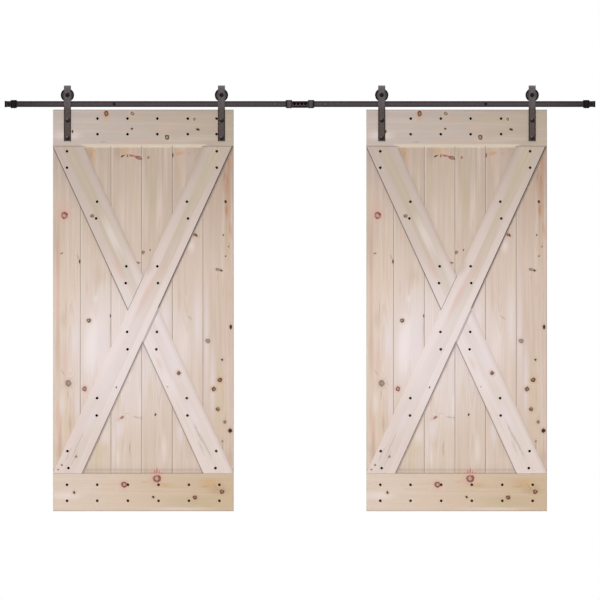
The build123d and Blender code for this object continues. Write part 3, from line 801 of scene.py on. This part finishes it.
def fixing_coat(name, colour, rubbed):
    """The wall fixings' coat: a painted highlight beside the joiner, the rail's tone on the next
    pair.
    """
    coat = Coat(name, colour)
    out = abs(coat.along)
    # A painted highlight on the pair of fixings beside the joiner
    coat.lay(out.fall(*FIXING_HIGHLIGHT_REACH), rubbed)
    plain = abs(out - PLAIN_FIXING).fall(*PLAIN_FIXING_REACH)
    coat.lay(plain, coat.speckled((80, 69, 73), 0.15))
    return coat.done()


def strap_coat(side, end):
    """A strap's coat: greyer by the wheel, browner on the leaf with painted shade down both sides.
    """
    node = f"{side}_strap_{end}"
    low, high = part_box(node)
    half, middle = (high[0] - low[0]) / 2, box_middle(node)[0]
    leaf_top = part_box(f"{side}_top_rail")[1][2]
    coat = Coat(node + "_coat", (82, 72, 70), 0.2, (middle, 0.0, leaf_top))
    above = coat.height.rise(*STRAP_ABOVE)
    coat.lay(above, coat.speckled((92, 87, 88), 0.3))
    edge = abs(coat.along).rise(half - STRAP_SIDE, half - STRAP_SIDE_IN, 0.8)
    coat.lay(edge * (1 - above), (36, 26, 25))
    # A painted highlight on the strap's crown
    coat.lay((high[2] - leaf_top - coat.height).fall(*STRAP_CROWN_HIGHLIGHT), (122, 120, 122))
    bolts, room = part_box(f"{side}_strap_bolts"), coat.place()
    across, down = middle + BOLT_SHADOW[0], BOLT_SHADOW[1]
    # Painted shadow rings round the axle and the strap bolts
    rings = (
        (middle, box_middle(f"{side}_axle_bolts")[2], AXLE_SHADOW_RING, 0.85),
        (across, bolts[1][2] - STRAP_BOLT_RADIUS + down, BOLT_SHADOW_RING, 0.75),
        (across, bolts[0][2] + STRAP_BOLT_RADIUS + down, BOLT_SHADOW_RING, 0.75),
    )
    for x, z, radius, strength in rings:
        ring = coat.mark(room, (x, z), (radius, radius))
        coat.lay(ring.fall(*SHADOW_RING_EDGE, strength), SHADE_BLACK)
    return coat.done()


def edged_coat(node, colour, border, shine=0.12):
    """A coat with painted shade round the border of a piece's front."""
    low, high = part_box(node)
    coat = Coat(node + "_coat", colour, 0.15, box_middle(node))
    for way, half in ((coat.along, (high[0] - low[0]) / 2), (coat.height, (high[2] - low[2]) / 2)):
        coat.lay(abs(way).rise(half - border, half - border * 0.4, 0.8), SHADE_BLACK)
    return coat.done(shine)


def joiner_coat():
    """The joiner's coat, with painted shade in each bolt's bore and a painted highlight on its
    lower lip.
    """
    coat = Coat("joiner_coat", (52, 34, 38), 0.15)
    low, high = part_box("rail_joiner")
    beside = ((coat.along / JOINER_PITCH + 8.0).fraction() - 0.5) * JOINER_PITCH
    reach = (beside ** 2 + coat.height ** 2) ** 0.5
    lip = reach.fall(*JOINER_LIP_HIGHLIGHT) * coat.height.fall(*JOINER_HIGHLIGHT_HEIGHT)
    coat.lay(lip, (112, 90, 94))
    coat.lay(reach.fall(*JOINER_BORE_SHADE), (6, 4, 5))
    coat.lay((high[2] - coat.height).fall(*JOINER_UPPER_RIM), SHADE_BLACK)
    coat.lay((coat.height - low[2]).fall(*JOINER_LOWER_RIM), SHADE_BLACK)
    return coat.done()


def domed_coat(node, colour, radius):
    """A coat for four domed heads: painted shade round the lower side, painted highlight upper
    left.
    """
    coat = Coat(node + "_coat", colour, 0.2)
    low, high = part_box(node)
    halves = (radius, radius)
    for x in (low[0] + radius, high[0] - radius):
        for z in (high[2] - radius, low[2] + radius):
            lit_spot = (x + DOME_LIT[0] * radius, z + DOME_LIT[1] * radius)
            lit = coat.mark(coat.spot, lit_spot, halves)
            near = coat.mark(coat.spot, (x, z), halves).fall(*DOME_REACH)
            coat.lay(lit.rise(*DOME_SHADE) * near, SHADE_BLACK)
            coat.lay(lit.fall(*DOME_HIGHLIGHT), (166, 158, 156))
    return coat.done()


def wheel_nylon(node):
    """A wheel: grey inside, and black round its flanges as painted shadow."""
    finish = Finish(node + "_nylon")
    low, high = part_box(node)
    radius, middle = (high[0] - low[0]) / 2, box_middle(node)
    scuff = finish.noise(finish.place(middle), 320.0, 3.0)
    finish.colour = finish.mix(scuff.rise(0.35, 0.7), (62, 58, 60), (92, 88, 90))
    # Painted shadow: black round the flanges
    black = finish.mix(scuff.rise(0.45, 0.8), (7, 6, 7), (18, 17, 18))
    out = finish.mark(finish.place(), (middle[0], middle[2]), (radius, radius))
    finish.lay(out.rise(0.74, 0.82), black)
    return finish.close_rough(scuff, (0.1, 0.0002), scuff * 0.2 + 0.4, 0.12)


def black_oxide(name, fresh, worn, shine):
    """Blackened steel, rubbed a little lighter in places."""
    finish = Finish(name)
    rub = finish.noise(finish.place(), 240.0, 3.0)
    finish.colour = finish.mix(rub.rise(0.4, 0.75, 0.6), fresh, worn)
    return finish.close_rough(rub, (0.12, 0.0002), rub * 0.25 + 0.3, shine)


def moulded(name, fineness, dark, light, bump, rough, shine):
    """Rubber or plastic with a fine moulded grain."""
    finish = Finish(name)
    grain = finish.noise(finish.place(), fineness)
    finish.colour = finish.mix(grain, dark, light)
    return finish.close_rough(grain, bump, grain * rough[0] + rough[1], shine)


def ground_steel():
    finish = Finish("ground_steel")
    grain = finish.noise(finish.place().stretched((40.0, 40.0, 40.0)), 30.0, 3.0)
    finish.colour = finish.mix(grain, (120, 120, 122), (168, 168, 170))
    return finish.close(grain * 0.2 + 0.2, {"Metallic": 1.0})


def give(node, material):
    """A CAD node takes a finish in all its material slots."""
    mesh = frame["nodes"][node].data
    mesh.materials.clear()
    mesh.materials.append(material)


# Finishes of the CAD nodes
oxide = black_oxide("black_oxide", (18, 14, 14), (36, 30, 30), 0.12)
screw_black = black_oxide("screw_black", (1, 1, 1), (6, 4, 4), 0.01)
by_slot = {
    "bronze_steel": Coat("bronze_coat", (66, 54, 54)).done(),
    "black_fasteners": oxide,
    "bearing_steel": ground_steel(),
    "stop_rubber": moulded(
        "black_rubber", 700.0, (16, 16, 16), (30, 29, 28), (0.3, 0.0003), (0.15, 0.7), 0.2
    ),
    "cap_plastic": moulded(
        "moulded_black", 500.0, (6, 5, 6), (16, 15, 16), (0.15, 0.0002), (0.2, 0.45), 0.08
    ),
}
for row in frame["record"]["subparts"]:
    if row["material_slot"] in by_slot:
        give(row["node"], by_slot[row["material_slot"]])
coat = rail_coat()
for node in ("rail_left", "rail_right"):
    give(node, coat)
give("lag_washers", fixing_coat("washer_coat", (64, 52, 54), (72, 66, 67)))
give("lag_bolts", fixing_coat("lag_bolt_coat", (26, 16, 17), (90, 82, 84)))
give("rail_joiner", joiner_coat())
give("joiner_bolts", screw_black)
give("stop_set_screws", screw_black)
# The boards' seeds are this far apart
SEED_STEP = 3.7
for side in ("left", "right"):
    give(f"end_stop_{side}", edged_coat(f"end_stop_{side}", (30, 25, 28), 0.009, 0.06))
    give(f"centre_stop_{side}", edged_coat(f"centre_stop_{side}", (78, 72, 74), 0.007))
    for end in ("outer", "inner"):
        give(f"{side}_strap_{end}", strap_coat(side, end))
        give(f"{side}_wheel_{end}", wheel_nylon(f"{side}_wheel_{end}"))
    bolts = f"{side}_strap_bolts"
    give(bolts, domed_coat(bolts, (76, 67, 66), STRAP_BOLT_RADIUS))
    for count, board in enumerate(PINE, start=1):
        give(f"{side}_{board}", pine(side, board, count * SEED_STEP))


class Shape:
    """A Geometry Nodes tree with named sizes."""

    def __init__(self, name, sizes):
        self.tree = bpy.data.node_groups.new(name, "GeometryNodeTree")
        face = self.tree.interface
        face.new_socket("Geometry", in_out="INPUT", socket_type="NodeSocketGeometry")
        for label, value in sizes.items():
            kind = "NodeSocketInt" if isinstance(value, int) else "NodeSocketFloat"
            face.new_socket(label, in_out="INPUT", socket_type=kind).default_value = value
        face.new_socket("Geometry", in_out="OUTPUT", socket_type="NodeSocketGeometry")
        self.given = self.tree.nodes.new("NodeGroupInput").outputs

    def node(self, kind, settings, sockets):
        return add_node(self.tree, "GeometryNode" + kind, settings, sockets)

    def maths(self, operation, *values):
        values = dict(enumerate(values))
        return add_node(self.tree, "ShaderNodeMath", {"operation": operation}, values)[0]

    def close(self, form, turn, material):
        """Stands the form at each point, turned about X, as real geometry with its material."""
        points = self.node("MeshToPoints", {}, {"Mesh": self.given["Geometry"]})[0]
        sockets = {"Points": points, "Instance": form, "Rotation": (turn, 0.0, 0.0)}
        placed = self.node("InstanceOnPoints", {}, sockets)[0]
        real = self.node("RealizeInstances", {}, {"Geometry": placed})[0]
        painted = self.node("SetMaterial", {}, {"Geometry": real, "Material": material})[0]
        end = self.tree.nodes.new("NodeGroupOutput")
        self.tree.links.new(painted, end.inputs[0])

    def make(self, name, points):
        """A plain mesh from the tree, on a mesh of bare points."""
        bare = bpy.data.meshes.new(name)
        bare.from_pydata(points, [], [])
        piece = added(name, bare)
        modifier = piece.modifiers.new("shape", "NODES")
        modifier.node_group = self.tree
        bpy.context.view_layer.update()
        evaluated = piece.evaluated_get(bpy.context.evaluated_depsgraph_get())
        plain = bpy.data.meshes.new_from_object(evaluated)
        piece.modifiers.remove(modifier)
        piece.data = plain
        return piece


SCREW = {
    "Head Radius": 0.0067, "Rim": 0.0004, "Crown": 0.0007, "Recess": 0.0011, "Segments": 18,
}
# The crown's two rings, the recess and its floor, each as a part of the ring before
CROWN_LOWER, CROWN_UPPER, RECESS, RECESS_FLOOR = 0.9, 0.72, 0.55, 0.86


def screw_heads(material):
    """Low round screw heads with a drive recess, one at each point, facing the room."""
    shape = Shape("screw_heads", SCREW)
    given = shape.given
    sunk = shape.maths("MULTIPLY", given["Recess"], -1.0)
    half = shape.maths("MULTIPLY", given["Crown"], 0.5)
    sockets = {"Vertices": given["Segments"], "Radius": given["Head Radius"]}
    head, top = shape.node("MeshCircle", {"fill_type": "NGON"}, sockets)[0], True
    # The head is stacked from rings: how far up each goes, and how much it narrows
    rings = (
        (given["Rim"], 1.0), (half, CROWN_LOWER), (half, CROWN_UPPER), (0.0, RECESS),
        (sunk, RECESS_FLOOR),
    )
    for height, scale in rings:
        sockets = {"Mesh": head, "Selection": top, "Offset Scale": height, "Individual": False}
        grown = shape.node("ExtrudeMesh", {"mode": "FACES"}, sockets)
        top = grown["Top"]
        sockets = {"Geometry": grown["Mesh"], "Selection": top, "Scale": scale}
        head = shape.node("ScaleElements", {"domain": "FACE"}, sockets)[0]
    faceted = shape.node("SetShadeSmooth", {}, {"Geometry": head, "Shade Smooth": False})[0]
    shape.close(faceted, math.pi / 2, material)
    return shape


# Wood screws, in millimetres from the leaf's left edge and below its top: columns and rows on
# the top and on the bottom rail
RAIL_SCREWS = (
    ((71, 225, 377, 528, 682, 827.5), (45.5, 124.5)),
    ((71, 224, 379, 534, 688, 842), (1898.4, 1979.4)),
)
# Each row crosses the half brace and the through brace once: its drop, and both screws
BRACE_SCREWS = (
    (211, 71, 829), (294, 71, 829), (466, 223, 678), (551, 218, 683), (793, 371, 528),
    (878, 368, 531), (1125, 526, 375), (1213, 523, 377), (1460, 677, 223), (1548, 680, 221),
    (1728, 826, 73), (1814, 822, 78),
)


def screw_places(side):
    """The screws of the rails and braces that no strap covers."""
    left, _, _, top = leaf_edges(side)
    places = [(x, drop) for columns, rows in RAIL_SCREWS for x in columns for drop in rows]
    for drop, half_brace, through_brace in BRACE_SCREWS:
        places += [(half_brace, drop), (through_brace, drop)]
    straps = [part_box(f"{side}_strap_{end}") for end in ("outer", "inner")]
    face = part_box(f"{side}_top_rail")[0][1]
    spots = [(left + x * MM, face, top - drop * MM) for x, drop in places]
    return [
        (x, y, z) for x, y, z in spots
        if not any(low[0] < x < high[0] and low[2] < z for low, high in straps)
    ]


THREAD = {
    "Root": 0.0036, "Ridge": 0.0009, "Pitch": 0.0025, "Straight": 0.035, "Tip": 0.0082, "Sides": 14,
}
# The thread starts just inside the wall, and its point narrows to this part of the root
THREAD_START = 0.001
POINT_TAPER = 0.15


def lag_threads(material):
    """A coarse thread up a lag bolt's shank and tip, one at each point, running into the wall."""
    shape = Shape("lag_threads", THREAD)
    root, straight, tip = (shape.given[name] for name in ("Root", "Straight", "Tip"))

    def helix(length, end_radius):
        sizes = {
            "Resolution": shape.given["Sides"],
            "Rotations": shape.maths("DIVIDE", length, shape.given["Pitch"]),
            "Start Radius": root,
            "End Radius": end_radius,
            "Height": length,
        }
        return shape.node("CurveSpiral", {}, sizes)[0]

    lift = add_node(shape.tree, "ShaderNodeCombineXYZ", {}, {"Z": straight})[0]
    point = helix(tip, shape.maths("MULTIPLY", root, POINT_TAPER))
    point = shape.node("Transform", {}, {"Geometry": point, "Translation": lift})[0]
    both = shape.node("JoinGeometry", {}, {"Geometry": [helix(straight, root), point]})[0]
    sockets = {"Resolution": 3, "Radius": shape.given["Ridge"]}
    profile = shape.node("CurvePrimitiveCircle", {}, sockets)[0]
    sockets = {"Curve": both, "Profile Curve": profile, "Fill Caps": True}
    ridge = shape.node("CurveToMesh", {}, sockets)[0]
    shape.close(ridge, -math.pi / 2, material)
    return shape


# The record gives the lag bolts in pairs, each pair's spacing in millimetres
patterns = [row["dims"] for row in frame["record"]["mounts"] if row["kind"] == "bolt_pattern"]
spacings = [dims["spacing_x_mm"] * MM for dims in patterns]
places = [(sign * gap / 2, THREAD_START, 0.0) for gap in spacings for sign in (-1, 1)]
threads = lag_threads(oxide).make("lag_threads", places)
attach(threads, "rail")

heads = screw_heads(screw_black)
for side in ("left", "right"):
    screws = heads.make(f"{side}_wood_screws", screw_places(side))
    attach(screws, f"{side}_door")

# The photograph's frame: a pixel's size, how many it has, and the row of the rail's middle
PIXEL = 5.06 * MM
FRAME_PIXELS = 600
RAIL_ROW = 104.05
CAMERA_BACK = 12.0
CAMERA_SEES = 200.0
FLOOR_SIZE = 40.0
FLOOR_BELOW = 0.012
FLOOR_GLOW = 0.35
SKY_LIGHT = 0.36
# Soft lamps: strength, the way that each shines, and how broad it is in degrees
LAMPS = {
    "front": (1.80, (1.5, 16.0, -2.0), 6),
    "back": (1.20, (-2.0, -16.0, -1.0), 20),
    "left": (0.80, (16.0, 0.0, -1.0), 20),
    "right": (0.80, (-16.0, 0.0, -1.0), 20),
    "top": (0.20, (0.0, 0.0, -1.0), 30),
}


def lit_world():
    """White to the camera and to reflections, and a softer even light on the object."""
    sky = Finish("studio", "worlds")
    camera_ray = sky.node("LightPath", {}, {}, "Is Camera Ray")
    seen = camera_ray.larger(sky.node("LightPath", {}, {}, "Is Glossy Ray"))
    strength = seen.ramp(0.0, 1.0, SKY_LIGHT, 1.0)
    light = sky.node("Background", {}, {"Color": WHITE, "Strength": strength})
    sky.node("OutputWorld", {}, {"Surface": light})
    bpy.context.scene.world = sky.made


def lamps():
    """Soft lamps from all round, the front one the strongest."""
    for name, (strength, way, breadth) in LAMPS.items():
        lamp = bpy.data.lights.new(name, "SUN")
        lamp.energy = strength
        lamp.angle = math.radians(breadth)
        holder = added(name, lamp)
        holder.rotation_euler = Vector(way).to_track_quat("-Z", "Y").to_euler()
        holder.visible_glossy = name != "front"


def floor():
    """A plain pale floor under the leaves, a little brighter to the camera than it is lit."""
    below = cad_box[0][2] - FLOOR_BELOW
    bpy.ops.mesh.primitive_plane_add(size=FLOOR_SIZE, location=(0, 0, below))
    plane = bpy.context.object
    plane.name = "floor"
    finish = Finish("pale_floor")
    seen = finish.node("LightPath", {}, {}, "Is Camera Ray") * FLOOR_GLOW
    glow = finish.node("Emission", {}, {"Color": WHITE, "Strength": seen})
    plain = finish.node("BsdfDiffuse", {}, {"Color": paint((250, 250, 249))})
    both = finish.node("AddShader", {}, {0: plain, 1: glow})
    finish.node("OutputMaterial", {}, {"Surface": both})
    plane.data.materials.append(finish.made)


def camera():
    """Straight in front, with no perspective, framed as the photograph."""
    seen = bpy.data.cameras.new("front")
    seen.type = "ORTHO"
    seen.ortho_scale = FRAME_PIXELS * PIXEL
    seen.clip_end = CAMERA_SEES
    holder = added("front", seen)
    holder.location = (0.0, -CAMERA_BACK, (RAIL_ROW - FRAME_PIXELS / 2) * PIXEL)
    holder.rotation_euler = (math.pi / 2, 0.0, 0.0)
    bpy.context.scene.camera = holder


lit_world()
lamps()
floor()
camera()
bpy.context.scene.view_settings.view_transform = "Standard"
